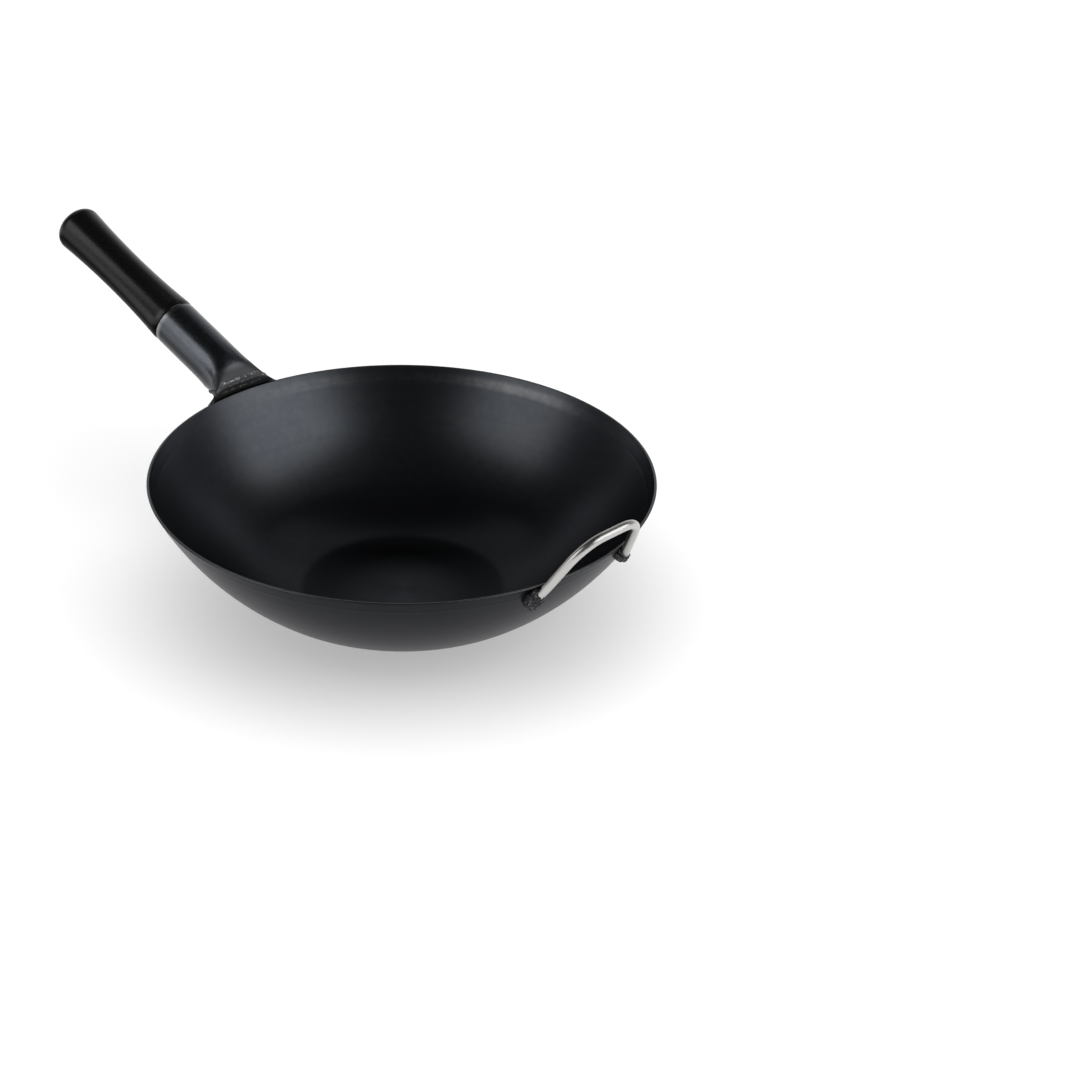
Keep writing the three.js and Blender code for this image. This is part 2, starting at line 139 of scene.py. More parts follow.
def connect(tree, node, **inputs):
    """Fills a node's inputs. A value is set. A socket, or a node's first live output, is linked."""
    for key, value in inputs.items():
        socket = node.inputs[int(key[1:])] if key[1:].isdigit() else node.inputs[key.replace("_", " ")]
        if isinstance(value, bpy.types.Node):
            value = next(output for output in value.outputs if output.enabled)
        if isinstance(value, bpy.types.NodeSocket):
            tree.links.new(value, socket)
        else:
            socket.default_value = value


def add_node(tree, kind, settings=None, **inputs):
    """A new node with its settings and its inputs, which are named, or numbered as _0, _1 and so on."""
    node = tree.nodes.new(kind)
    for key, value in (settings or {}).items():
        setattr(node, key, value)
    connect(tree, node, **inputs)
    return node


def new_finish(name, **surface):
    """A material with one Principled surface whose plain values are set on its own sockets."""
    finish = bpy.data.materials.new(name)
    finish.use_nodes = True
    tree = finish.node_tree
    shader = tree.nodes["Principled BSDF"]
    connect(tree, shader, **surface)
    return finish, tree, shader


print("a mid grey #808080 is", np.round(linear("#808080")[:3], 3), "in linear light")

# %% [markdown]
# ## The bowl's shape
#
# A wok bowl like this is one disc of steel sheet, spun over a former. Its section is a flat base,
# a bend, and a wall arc that leaves the bend smoothly and steepens towards the rim. A
# surface of revolution could come from the Screw modifier, but a turned grid lets us place more
# rows where the curve is tight: round the rim, whose cut edge is only as wide as the sheet. A
# shallow spun line runs round the wall a little under the rim, inside and outside.

# %% Bowl section
RIM_RADIUS, BOWL_DEPTH, SHEET = 170.0, 91.0, 1.6
BASE_RADIUS, BEND_RADIUS, BEND_ANGLE = 48.0, 108.0, math.radians(38)
RIM_ROUND = 0.6
FLAT_POINTS, BEND_POINTS, WALL_POINTS, EDGE_POINTS = 5, 39, 90, 7
LIP_LINE_DEPTH, LIP_LINE_WIDTH, LIP_LINE_DROP = 0.08, 0.8, 9.0

bend_end = np.array([
    BASE_RADIUS + BEND_RADIUS * math.sin(BEND_ANGLE),
    BEND_RADIUS * (1 - math.cos(BEND_ANGLE)),
])
chord = np.array([RIM_RADIUS, BOWL_DEPTH]) - bend_end
wall_turn = math.atan2(chord[1], chord[0]) - BEND_ANGLE
WALL_RADIUS = float(np.hypot(*chord)) / (2 * math.sin(wall_turn))
WALL_CENTRE = bend_end + WALL_RADIUS * np.array([-math.sin(BEND_ANGLE), math.cos(BEND_ANGLE)])


def wall_radius_at(offset, height):
    """Radius Cr + sqrt(R^2 - (Cz - z)^2) of the wall arc at a height z, with offset added to R."""
    reach = WALL_RADIUS + offset
    return WALL_CENTRE[0] + np.sqrt(reach**2 - (WALL_CENTRE[1] - height) ** 2)


def bowl_side(offset, height):
    """Section from axis to rim, moved by offset: a flat, then (r, z) = centre + R (sin s, -cos s)."""
    out = np.linspace(0, BASE_RADIUS, FLAT_POINTS, endpoint=False)
    flat = np.stack([out, np.full(FLAT_POINTS, -offset)], axis=-1)
    slope = np.linspace(0, BEND_ANGLE, BEND_POINTS, endpoint=False)
    reach = BEND_RADIUS + offset
    bend = np.array([BASE_RADIUS, BEND_RADIUS]) + reach * np.stack([np.sin(slope), -np.cos(slope)], -1)
    end = math.acos((WALL_CENTRE[1] - height) / (WALL_RADIUS + offset))
    slope = np.linspace(BEND_ANGLE, end, WALL_POINTS)
    below_line = (end - slope) * WALL_RADIUS - LIP_LINE_DROP
    line = LIP_LINE_DEPTH * np.exp(-((below_line / LIP_LINE_WIDTH) ** 2))
    reach = (WALL_RADIUS + offset + line)[:, None]
    wall = WALL_CENTRE + reach * np.stack([np.sin(slope), -np.cos(slope)], axis=-1)
    return np.concatenate([flat, bend, wall])


outer = bowl_side(0, BOWL_DEPTH - RIM_ROUND)
inner = bowl_side(-SHEET, BOWL_DEPTH - RIM_ROUND)
over = np.linspace(0, np.pi, EDGE_POINTS + 2)[1:-1, None]
edge_middle, edge_half = (outer[-1] + inner[-1]) / 2, (outer[-1] - inner[-1]) / 2
rim_edge = edge_middle + edge_half * np.cos(over) + np.array([0, RIM_ROUND]) * np.sin(over)
bowl_section = np.concatenate([outer, rim_edge, inner[::-1]])
print(f"wall arc radius {WALL_RADIUS:.1f} mm, {len(bowl_section)} points in the section")

# %% Bowl surface
BOWL_SIDES = 240


def turned(section, sides):
    """Section points (r, h) turned about Z: (r cos a, r sin a, h), with a point at each end."""
    angle = np.arange(sides) * 2 * np.pi / sides
    r, h = section[1:-1, 0, None], section[1:-1, 1, None]
    rings = np.stack([r * np.cos(angle), r * np.sin(angle), h + 0 * angle], axis=-1)
    ends = [[0, 0, section[0, 1]], [0, 0, section[-1, 1]]]
    points = np.concatenate([rings.reshape(-1, 3), ends])
    return points, grid_faces(len(rings), sides) + end_fans(len(rings), sides)


bowl_points, bowl_faces = turned(bowl_section, BOWL_SIDES)
print(f"{len(bowl_points)} points on {BOWL_SIDES} sides")

# %% [markdown]
# ## The bowl's finish: blued spun steel
#
# Carbon steel that has been heated and oiled grows a thin black oxide with a cold, slightly blue
# cast. It is still a metal to the eye: nearly all that we see is reflection, dim because the
# oxide swallows most of the light. Spinning leaves very fine rings, which stretch highlights
# across the grain, so the surface is a little anisotropic round the axis. The rings come from noise
# that reads only the radius and the height, so they circle the bowl. The cut rim is rubbed
# bare and bright, and a band below it, on the inside, is rubbed in spots. That band is painted
# lighter at two places along the rim, as a painted highlight on top of the rubbing. A dark ring
# over the base, darkest at its edge, where the wall begins, is painted shade. The outside is
# painted darker, also as painted shade, and an attribute tells the finish which side it is on.

# %% Blued spun steel
# Real spun rings and grain are finer. They are drawn this coarse so that they show.
RING_MM, CLOUD_MM, MOTTLE_MM, GRAIN_MM, MOTTLE_SHARE = 1.6, 55.0, 5.0, 0.9, 0.6
RIM_WEAR_MM, RIM_BARE_MM = 0.5, 0.1
# Where a band starts, is full, begins to fade and ends: as a radius, then as a height from the rim.
# The first band, a radius band over the base, is painted shade.
SHADE_RING_MM, RUBBED_HIGHLIGHT_MM = np.array([14.0, 58.0, 66.0, 72.0]), np.array([-12.0, -8.0, -6.5, -2.5])
# Along the rim the rubbed band is lighter at these places: partly real rubbing, partly painted highlight.
RUBBED_HIGHLIGHT_PLACES = ((-70, 21, 0.95), (-20, 12, 0.4))  # azimuth and half width in degrees, strength

blued_bowl, tree, shader = new_finish(
    "blued_spun_steel", Metallic=1.0, Anisotropic=0.35, Specular_Tint=linear("#e0e0e2"),
)
place = add_node(tree, "ShaderNodeTexCoord").outputs["Object"]
axes = add_node(tree, "ShaderNodeSeparateXYZ", _0=place)
flat_place = add_node(tree, "ShaderNodeVectorMath", TIMES, _0=place, _1=(1, 1, 0))
radius = add_node(tree, "ShaderNodeVectorMath", {"operation": "LENGTH"}, _0=flat_place)
ring_place = add_node(tree, "ShaderNodeCombineXYZ", X=radius, Y=axes.outputs["Z"])
rings = add_node(
    tree, "ShaderNodeTexNoise", Vector=ring_place, Scale=1 / (RING_MM * MM), Detail=3.0, Roughness=0.6,
)
clouds = add_node(tree, "ShaderNodeTexNoise", Vector=place, Scale=1 / (CLOUD_MM * MM), Detail=3.0)
mottle = add_node(tree, "ShaderNodeTexNoise", Vector=place, Scale=1 / (MOTTLE_MM * MM), Detail=4.0)
grain = add_node(tree, "ShaderNodeTexNoise", Vector=place, Scale=1 / (GRAIN_MM * MM), Detail=2.0)
outside = add_node(tree, "ShaderNodeAttribute", {"attribute_name": "outside"})
uneven = add_node(
    tree, "ShaderNodeMath", {"operation": "MULTIPLY_ADD"}, _0=mottle, _1=MOTTLE_SHARE, _2=clouds,
)
patches = add_node(tree, "ShaderNodeMapRange", Value=uneven, From_Min=0.62, From_Max=0.98)
oiled = add_node(tree, "ShaderNodeMix", RGBA, _0=patches, _6=linear("#404348"), _7=linear("#47494c"))
bands = []
for way, (start, full, fade, end) in (
    (radius, SHADE_RING_MM * MM), (axes.outputs["Z"], (BOWL_DEPTH + RUBBED_HIGHLIGHT_MM) * MM),
):
    rise = add_node(tree, "ShaderNodeMapRange", SMOOTH, Value=way, From_Min=start, From_Max=full)
    fall = add_node(
        tree, "ShaderNodeMapRange", SMOOTH, Value=way,
        From_Min=fade, From_Max=end, To_Min=1.0, To_Max=0.0,
    )
    bands.append(add_node(tree, "ShaderNodeMath", TIMES, _0=rise, _1=fall))
painted_shade_ring, rubbed_highlight_band = bands
# A darker ring over the base, darkest where the wall begins, is painted shade.
oiled_with_shade_ring = add_node(tree, "ShaderNodeMix", RGBA, _0=painted_shade_ring, _6=oiled, _7=linear("#303235"))
# The rubbed band is real wear in spots, made lighter where a highlight falls: painted highlight.
rubbed_highlight_strength = add_node(tree, "ShaderNodeAttribute", {"attribute_name": "rubbed_and_highlight"})
spots = add_node(tree, "ShaderNodeMapRange", Value=uneven, From_Min=0.4, From_Max=1.2)
rubbed_and_highlight = add_node(tree, "ShaderNodeMath", TIMES, _0=spots, _1=rubbed_highlight_strength.outputs["Fac"])
rubbed_and_highlight = add_node(tree, "ShaderNodeMath", TIMES, _0=rubbed_highlight_band, _1=rubbed_and_highlight)
inside = add_node(tree, "ShaderNodeMix", RGBA, _0=rubbed_and_highlight, _6=oiled_with_shade_ring, _7=linear("#79797a"))
# The outside's darker colour is painted shade.
outside_painted_shade = add_node(tree, "ShaderNodeMix", RGBA, _0=patches, _6=linear("#1f2123"), _7=linear("#252626"))
oxide = add_node(tree, "ShaderNodeMix", RGBA, _0=outside.outputs["Fac"], _6=inside, _7=outside_painted_shade)
bare = add_node(
    tree, "ShaderNodeMapRange", Value=axes.outputs["Z"],
    From_Min=(BOWL_DEPTH - RIM_WEAR_MM) * MM, From_Max=(BOWL_DEPTH - RIM_BARE_MM) * MM,
)
colour = add_node(tree, "ShaderNodeMix", RGBA, _0=bare, _6=oxide, _7=linear("#727372"))
rough = add_node(
    tree, "ShaderNodeMapRange", Value=rings, From_Min=0.3, From_Max=0.7, To_Min=0.28, To_Max=0.32,
)
ring_bump = add_node(tree, "ShaderNodeBump", Height=rings, Strength=0.012, Distance=0.2 * MM)
bump = add_node(
    tree, "ShaderNodeBump", Height=grain, Normal=ring_bump, Strength=0.06, Distance=0.1 * MM,
)
round_axis = add_node(tree, "ShaderNodeTangent", {"direction_type": "RADIAL", "axis": "Z"})
connect(tree, shader, Base_Color=colour, Roughness=rough, Normal=bump, Tangent=round_axis)
print(f"{blued_bowl.name}: {len(tree.nodes)} nodes")

# %% Bowl piece
bowl = make_piece("wok_bowl_surface", bowl_points, bowl_faces, blued_bowl, "blued_bowl_steel", "wok_bowl")
side_of_ring = np.repeat(np.arange(len(bowl_section) - 2) < len(outer) - 1, BOWL_SIDES)
mark(bowl, "outside", np.append(side_of_ring, [True, False]))
azimuth = np.degrees(np.arctan2(bowl_points[:, 1], bowl_points[:, 0]))
# How strongly the rubbed band shows along the rim: real rubbing plus painted highlight.
rubbed_highlight_spread = [most * np.exp(-(((azimuth - at) / half) ** 2)) for at, half, most in RUBBED_HIGHLIGHT_PLACES]
mark(bowl, "rubbed_and_highlight", np.sum(rubbed_highlight_spread, axis=0))
print(f"{np.count_nonzero(side_of_ring)} of {len(bowl_points)} bowl points are on the outside")

# %% [markdown]
# ## The handle line
#
# Everything on the handle side is set out along one straight line that crosses the rim circle a
# little above the rim and climbs outwards. Working in distances along it, across it and above it
# keeps the socket, the grip and the screws in step.

# %% Places along the handle
HANDLE_LIFT, HANDLE_RISE = 3.1, math.radians(19.1)
SEAT_GAP = 0.3
ALONG_X, ALONG_Z = math.cos(HANDLE_RISE), math.sin(HANDLE_RISE)


def on_handle(along, across, above):
    """World points for distances along the handle line, across it (Y) and above it."""
    x = RIM_RADIUS + along * ALONG_X - above * ALONG_Z
    z = BOWL_DEPTH + HANDLE_LIFT + along * ALONG_Z + above * ALONG_X
    return np.stack(np.broadcast_arrays(x, across + 0 * x, z), axis=-1)


def handle_place(x, z):
    """The reverse: distances along and above the handle line of a point in the X-Z plane."""
    dx, dz = x - RIM_RADIUS, z - BOWL_DEPTH - HANDLE_LIFT
    return np.stack([dx * ALONG_X + dz * ALONG_Z, dz * ALONG_X - dx * ALONG_Z], axis=-1)


print("the handle line starts at", on_handle(0.0, 0.0, 0.0), "mm")

# %% [markdown]
# ## The socket and its bracket
#
# The socket is a rolled steel tube. Its front third is pressed: the top curves down to a flat
# tongue that stands on the rim, the sides open into a flare, and underneath a bracket sweeps
# down to the bowl's outer wall. Both are one pressed form, parted by a slanted seam that a
# weld closes. The form is a stack of rings between a top line and a bottom line. Each ring is a
# superellipse, an ellipse whose corners can be squared, so it can change from the
# round tube to the square-shouldered tongue. Where a ring meets the seam or the wall isn't known
# in closed form, so we halve an interval until it closes in, on all rays at once.

# %% Pressed form
SOCKET_LENGTH, SOCKET_RADIUS, SOCKET_SHEET = 77.0, 17.2, 2.0
PRESS_LENGTH, FLARE_HALF, FLARE_POWER = 32.0, 33.0, 2.8
BRACKET_DROP, BRACKET_LENGTH, BRACKET_SWEEP, BRACKET_TUCK = 21.0, 21.0, 12.0, 4.5
TUBE_SHARE, SEAM_HEIGHT = 0.3, 6.0
TOP_POWER, BOTTOM_POWER, WIDEST_AT_RIM = 5.0, 2.4, 0.8


def mixed(a, b, share):
    """A straight mix from a (share 0) to b (share 1)."""
    return a + (b - a) * share


def top_line(t, growth):
    """A quarter ellipse, (1 - sin, cos) of pi t / 2, from the tube's top (t = 0) to the rim (t = 1)."""
    end = handle_place(RIM_RADIUS + 2 * SEAT_GAP - growth, BOWL_DEPTH)
    along = end[0] + (PRESS_LENGTH - end[0]) * (1 - np.sin(t * np.pi / 2))
    above = end[1] + (SOCKET_RADIUS + growth - end[1]) * np.cos(t * np.pi / 2)
    return along, above


def bottom_line(t, growth):
    """Straight under the tube, then a cubic Bezier curve that lands on the outer wall.

    The curve is (1 - s)^3 P0 + 3 s (1 - s)^2 P1 + 3 s^2 (1 - s) P2 + s^3 P3.
    """
    landing = BOWL_DEPTH - BRACKET_DROP - growth
    inset = max(0.0, -growth)
    end = handle_place(wall_radius_at(2 * inset - SHEET, landing), landing)
    start = np.array([BRACKET_LENGTH, -SOCKET_RADIUS - growth])
    s = np.clip((t - TUBE_SHARE) / (1 - TUBE_SHARE), 0, 1)[..., None]
    leave = start + np.array([-BRACKET_SWEEP, BRACKET_TUCK])
    arrive = end + np.array([BRACKET_SWEEP, BRACKET_TUCK])
    curve = (1 - s) ** 3 * start + 3 * s * (1 - s) ** 2 * leave + 3 * s**2 * (1 - s) * arrive + s**3 * end
    straight = mixed(PRESS_LENGTH, BRACKET_LENGTH, np.clip(t / TUBE_SHARE, 0, 1))
    on_tube = t < TUBE_SHARE
    return np.where(on_tube, straight, curve[..., 0]), np.where(on_tube, start[1], curve[..., 1])


def pressed(t, angle, growth=0.0):
    """A point of the form at an angle round ring t: 0 ends the tube, 1 is the rim, below 0 is tube.

    The ring is |x/a|^n + |y/b|^n = 1 in polar form, (a cos, b sin) / (|cos|^n + |sin|^n)^(1/n).
    """
    t, angle = np.broadcast_arrays(t, angle)
    tube = np.clip(-t, 0, None) * (SOCKET_LENGTH - PRESS_LENGTH)
    t = np.clip(t, 0, 1)
    top, bottom = np.stack(top_line(t, growth)), np.stack(bottom_line(t, growth))
    middle = mixed(bottom, top, mixed(0.5, WIDEST_AT_RIM, t**2))
    half = mixed(SOCKET_RADIUS, FLARE_HALF, t**FLARE_POWER) + growth
    upper = np.sin(angle) >= 0
    power = np.where(upper, mixed(2, TOP_POWER, t**2), mixed(2, BOTTOM_POWER, t))
    spread = (np.abs(np.cos(angle)) ** power + np.abs(np.sin(angle)) ** power) ** (1 / power)
    across = half * np.cos(angle) / spread
    along, above = mixed(middle, np.where(upper, top, bottom), np.abs(np.sin(angle)) / spread)
    point = on_handle(along + tube, across, above)
    point[..., 0] -= t**2 * (RIM_RADIUS - np.sqrt(RIM_RADIUS**2 - across**2))
    return point


print("rim end of the tongue at", np.round(pressed(1.0, np.pi / 2), 1))

# %% Where the form meets the seam and the wall
WALL_GAP, HALVINGS, ROUND_STEPS = 0.1, 30, 144
seam_foot = np.array([BRACKET_LENGTH, -SOCKET_RADIUS])
seam_head = handle_place(RIM_RADIUS + SEAT_GAP, BOWL_DEPTH + SEAM_HEIGHT)
seam_along = (seam_head - seam_foot) / np.hypot(*(seam_head - seam_foot))


def past_seam(point):
    """Distance in front of the seam plane, positive on the bracket's side."""
    offset = handle_place(point[..., 0], point[..., 2]) - seam_foot
    return offset[..., 1] * seam_along[0] - offset[..., 0] * seam_along[1]


def past_wall(point):
    """Depth into the bowl's outer wall below the rim: positive when inside it."""
    out = np.hypot(point[..., 0], point[..., 1]) - WALL_CENTRE[0]
    depth = WALL_RADIUS + WALL_GAP - np.hypot(out, point[..., 2] - WALL_CENTRE[1])
    return np.minimum(depth, BOWL_DEPTH - point[..., 2])


def crossing(test, angle, growth, start):
    """The ring number on each ray where test turns positive, by halving, or 1 where it never does."""
    low, high = start + 0 * angle, np.ones_like(angle)
    for _ in range(HALVINGS):
        half = (low + high) / 2
        inside = test(pressed(half, angle, growth)) > 0
        low, high = np.where(inside, low, half), np.where(inside, half, high)
    return high


ring_angle = np.arange(ROUND_STEPS) * 2 * np.pi / ROUND_STEPS
seam_ring = crossing(past_seam, ring_angle, 0.0, 0.0)
wall_ring = crossing(past_wall, ring_angle, 0.0, seam_ring)
print(f"seam rings {seam_ring.min():.2f} to {seam_ring.max():.2f}, wall rings from {wall_ring.min():.2f}")
print("largest seam error", np.abs(past_seam(pressed(seam_ring, ring_angle))).max())

# %% [markdown]
# ## Socket and bracket surfaces
#
# Each is a closed shell. Its rows run along the outside from one edge to the other, turn over
# the edge, and come back along the inside, one sheet deeper, so that the grid closes on itself in
# both directions. The tube's rear edge is eased by a fraction of a millimetre, because a
# real cut edge is never perfectly sharp and that sliver catches the light.

# %% Socket and bracket shells
EDGE_EASE = 0.4
TUBE_ROWS, PRESS_ROWS, BRACKET_ROWS = 12, 60, 40

seam_inside = crossing(past_seam, ring_angle, -SOCKET_SHEET, 0.0)
wall_inside = crossing(past_wall, ring_angle, -SOCKET_SHEET, seam_inside)


def shell(outside, inside, first_growth):
    """Rows of the form at the ring numbers outside, then back along inside, one sheet deeper."""
    edge = pressed(outside[:1], ring_angle, first_growth)
    rows = [edge, pressed(outside, ring_angle), pressed(inside[::-1], ring_angle, -SOCKET_SHEET)]
    points = np.concatenate(rows)
    return points, grid_faces(len(points), ROUND_STEPS, loop_rows=True)


eased = EDGE_EASE / (SOCKET_LENGTH - PRESS_LENGTH)
tube_rows = np.concatenate([[-1.0, eased - 1.0], np.linspace(eased - 1.0, 0, TUBE_ROWS)[1:]])[:, None]
press_rows = np.linspace(0, 1, PRESS_ROWS)[1:, None]
socket_out = np.concatenate([tube_rows + 0 * ring_angle, press_rows * seam_ring])
socket_in = np.concatenate([tube_rows + 0 * ring_angle, press_rows * seam_inside])
socket_points, socket_faces = shell(socket_out[1:], socket_in, -EDGE_EASE)

bracket_rows = np.linspace(0, 1, BRACKET_ROWS)[:, None]
bracket_out = mixed(seam_ring, wall_ring, bracket_rows)
bracket_in = mixed(seam_inside, wall_inside, bracket_rows)
bracket_points, bracket_faces = shell(bracket_out, bracket_in, -EDGE_EASE / 4)
print("socket grid", socket_points.shape, "bracket grid", bracket_points.shape)

# %% [markdown]
# ## The socket's finish: blued pressed steel
#
# The socket went through the same bluing as the bowl, but on smooth rolled sheet, so its
# highlights are tighter and colder. Pressing leaves faint streaks along the tube, which are noise
# stretched along the handle line. The tongue was dressed with a file, which left it dull, with thin
# scuffed lines that show bare metal in specks. The lower side is painted darker as painted shade, as
# the bowl's outside is. Attributes hold where each of these is.

# %% Blued pressed steel
STREAK_MM, STREAK_LONG_MM, PATCH_MM, SPECK_MM = 1.2, 30.0, 12.0, 0.7

blued_socket, tree, shader = new_finish("blued_pressed_steel", Metallic=1.0)
place = add_node(tree, "ShaderNodeTexCoord").outputs["Object"]
along = add_node(
    tree, "ShaderNodeMapping", Vector=place, Rotation=(0, HANDLE_RISE, 0),
    Scale=(1 / (STREAK_LONG_MM * MM), 1 / (STREAK_MM * MM), 1 / (STREAK_MM * MM)),
)
streaks = add_node(tree, "ShaderNodeTexNoise", Vector=along, Scale=1.0, Detail=3.0)
clouds = add_node(tree, "ShaderNodeTexNoise", Vector=place, Scale=1 / (PATCH_MM * MM), Detail=2.0)
specks = add_node(tree, "ShaderNodeTexNoise", Vector=place, Scale=1 / (SPECK_MM * MM), Detail=2.0)
oxide = add_node(tree, "ShaderNodeMix", RGBA, _0=clouds, _6=linear("#5c6066"), _7=linear("#686b70"))
painted_shade_under = add_node(tree, "ShaderNodeAttribute", {"attribute_name": "painted_shade_under"})
# The darker colour on the lower side is painted shade.
oxide = add_node(tree, "ShaderNodeMix", RGBA, _0=painted_shade_under.outputs["Fac"], _6=oxide, _7=linear("#27292c"))
scuff = add_node(tree, "ShaderNodeAttribute", {"attribute_name": "scuff"})
dressed = add_node(tree, "ShaderNodeAttribute", {"attribute_name": "dressed"})
sheet = add_node(tree, "ShaderNodeMix", RGBA, _0=dressed.outputs["Fac"], _6=oxide, _7=linear("#515254"))
speck_mask = add_node(tree, "ShaderNodeMapRange", Value=specks, From_Min=0.5, From_Max=0.6)
specked = add_node(tree, "ShaderNodeMath", TIMES, _0=scuff.outputs["Fac"], _1=speck_mask)
edge = add_node(tree, "ShaderNodeAttribute", {"attribute_name": "edge"})
worn = add_node(tree, "ShaderNodeMath", LARGER, _0=specked, _1=edge.outputs["Fac"])
colour = add_node(tree, "ShaderNodeMix", RGBA, _0=worn, _6=sheet, _7=linear("#f0f0ee"))
rough = add_node(
    tree, "ShaderNodeMapRange", Value=streaks, From_Min=0.3, From_Max=0.7, To_Min=0.25, To_Max=0.33,
)
dull = add_node(
    tree, "ShaderNodeMix", {"data_type": "FLOAT"}, _0=dressed.outputs["Fac"], _2=rough, _3=0.55,
)
bump = add_node(tree, "ShaderNodeBump", Height=streaks, Strength=0.05, Distance=0.2 * MM)
connect(tree, shader, Base_Color=colour, Roughness=dull, Normal=bump)
print(f"{blued_socket.name}: {len(tree.nodes)} nodes")

# %% Socket and bracket pieces
SCUFF_HEIGHTS, SCUFF_WIDTH, SCUFF_REACH = (3.5, 9.5), 0.8, 18.0
TONGUE_REACH, TONGUE_FOOT, TONGUE_TOP, SIDE_FADE, TOP_FADE = 10.0, -0.5, 19.0, 3.0, 4.0
EDGE_WEAR, EDGE_SHINE = 0.6, 0.25

for name, points, faces in (
    ("handle_socket", socket_points, socket_faces), ("rim_bracket", bracket_points, bracket_faces),
):
    piece = make_piece(name + "_surface", points, faces, blued_socket, "blued_socket_steel", name)
    x, y, z = points.reshape(-1, 3).T
    up = z - BOWL_DEPTH
    front = np.clip((RIM_RADIUS + TONGUE_REACH - x) / SIDE_FADE, 0, 1) * (up > TONGUE_FOOT)
    lines = sum(np.exp(-(((up - height) / SCUFF_WIDTH) ** 2)) for height in SCUFF_HEIGHTS)
    broken = np.clip(0.5 + waves(y, 1.0), 0, 1) * np.clip((SCUFF_REACH - np.abs(y)) / SIDE_FADE, 0, 1)
    # The lower side, away from the tongue, takes painted shade.
    mark(piece, "painted_shade_under", facing_down(piece) * (1 - front))
    mark(piece, "scuff", lines * front * broken)
    mark(piece, "edge", EDGE_SHINE * (handle_place(x, z)[:, 0] > SOCKET_LENGTH - EDGE_WEAR))
    mark(piece, "dressed", front * np.clip((TONGUE_TOP - up) / TOP_FADE, 0, 1))
    print(f"{name}: {np.count_nonzero(lines * front > 0.2)} scuffed points")

# %% [markdown]
# ## Weld beads
#
# A hand-laid bead is a row of small overlapping puddles: it swells and thins, and it wanders a
# little. We carry a rounded section along the joint and vary its size with a sum of waves
# whose lengths don't divide each other, so the pattern never repeats. One bead closes the seam
# all the way round and is filed nearly flush across the tongue. Another follows the bracket's
# lower edge on the wall and thins out at both ends.

# %% Carrying a section along a path
BEAD_AROUND = 16


def unit(v):
    """Vectors scaled to a length of one."""
    return v / np.linalg.norm(v, axis=-1, keepdims=True)


def carried(path, side, up, width, height, around, closed):
    """Rings path + width cos a * side + height sin a * up, closed in a loop or by an end point each."""
    a = np.arange(around) * 2 * np.pi / around
    wide = width[:, None, None] * np.cos(a)[:, None] * side[:, None]
    tall = height[:, None, None] * np.sin(a)[:, None] * up[:, None]
    rings = path[:, None] + wide + tall
    if closed:
        return rings, grid_faces(len(path), around, loop_rows=True)
    points = np.concatenate([rings.reshape(-1, 3), path[[0, -1]]])
    return points, grid_faces(len(path), around) + end_fans(len(path), around)


def form_normal(t, angle):
    """Outward direction of the pressed form: the cross product of its two slopes."""
    step = 1e-3
    round_slope = pressed(t, angle + step) - pressed(t, angle - step)
    long_slope = pressed(np.minimum(t + step, 1), angle) - pressed(t - step, angle)
    return unit(np.cross(long_slope, round_slope))


print("the tongue faces", np.round(form_normal(np.array([0.9]), np.array([np.pi / 2]))[0], 2))

# %% Seam and wall beads
SEAM_BEAD_HALF, SEAM_BEAD_TALL, WALL_BEAD_HALF, WALL_BEAD_OUT = 1.2, 0.9, 1.4, 0.8
BEAD_WAVE_MM, BEAD_SWELL, BEAD_POINTS = 2.6, 0.16, 420
FILED_SHARE, BEAD_END_ANGLE, TAPER_POWER = 0.15, 0.05, 12

seam_angle = np.arange(BEAD_POINTS) * 2 * np.pi / BEAD_POINTS
seam_t = crossing(past_seam, seam_angle, 0.0, 0.0)
seam_path = pressed(seam_t, seam_angle)
seam_up = form_normal(seam_t, seam_angle)
seam_run = unit(np.roll(seam_path, -1, axis=0) - np.roll(seam_path, 1, axis=0))
seam_side = unit(np.cross(seam_run, seam_up))
step = np.linalg.norm(np.roll(seam_path, -1, axis=0) - seam_path, axis=1)
run = np.cumsum(step) / step.sum()
swell = 1 + waves(2 * np.pi * np.round(step.sum() / BEAD_WAVE_MM / 2) * run, BEAD_SWELL)
on_tongue = np.clip(3 * np.sin(seam_angle) - 1, 0, 1)  # 1 over the tongue, 0 on the sides and below
seam_tall = SEAM_BEAD_TALL * swell * mixed(1.0, FILED_SHARE, on_tongue)
seam_points, seam_faces = carried(
    seam_path, seam_side, seam_up, SEAM_BEAD_HALF * swell, seam_tall, BEAD_AROUND, True,
)

wall_angle = np.linspace(np.pi + BEAD_END_ANGLE, 2 * np.pi - BEAD_END_ANGLE, BEAD_POINTS)
wall_t = crossing(past_wall, wall_angle, 0.0, crossing(past_seam, wall_angle, 0.0, 0.0))
wall_path = pressed(wall_t, wall_angle)
reach = np.hypot(wall_path[:, 0], wall_path[:, 1])
wall_up = wall_path * ((reach - WALL_CENTRE[0]) / reach)[:, None]
wall_up[:, 2] = wall_path[:, 2] - WALL_CENTRE[1]
wall_up = unit(unit(wall_up) + form_normal(wall_t, wall_angle))
wall_run = unit(np.gradient(wall_path, axis=0))
wall_side = unit(np.cross(wall_run, wall_up))
step = np.linalg.norm(np.diff(wall_path, axis=0, prepend=wall_path[:1]), axis=1)
run = np.cumsum(step)
swell = 1 + waves(2 * np.pi * run / BEAD_WAVE_MM / 2, BEAD_SWELL)
taper = np.sqrt(np.clip(1 - np.abs(2 * run / run[-1] - 1) ** TAPER_POWER, 1e-4, 1))
wall_half = WALL_BEAD_HALF * swell * taper
wall_points, wall_faces = carried(
    wall_path + WALL_BEAD_OUT * wall_up, wall_side, wall_up, wall_half, wall_half, BEAD_AROUND, False,
)
